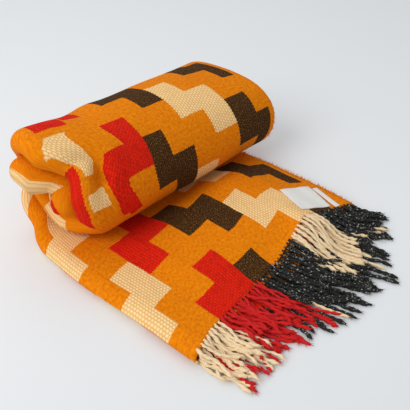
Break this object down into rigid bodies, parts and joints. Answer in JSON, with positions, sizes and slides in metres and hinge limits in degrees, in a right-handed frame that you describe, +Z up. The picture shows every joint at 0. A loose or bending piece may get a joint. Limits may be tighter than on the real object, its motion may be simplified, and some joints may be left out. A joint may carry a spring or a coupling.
{
  "type": "travel rug",
  "caption": "Fringed wool travel rug, folded lengthwise and rolled up with its loose end lying flat, in a stepped block weave.",
  "frame": {"origin": "middle of the base of the whole rug, on the surface that it lies on", "axes": "+X across the folded rug from its left fold to the selvages, +Y from the fringe to the roll, +Z up"},
  "size_m": [0.3688, 0.4532, 0.1569],
  "materials": {
    "cloth": "felted orange wool with cream, red and dark brown woven blocks",
    "fringe": "twisted wool yarn in cream, red and dark grey-brown",
    "label": "off-white woven tape, blank"
  },
  "bodies": {
    "root": {"rug_cloth": "cloth", "fringe_bottom": "fringe", "fringe_lower": "fringe", "fringe_upper": "fringe", "fringe_top": "fringe", "woven_label": "label", "side_tag": "label"}
  },
  "joints": []
}
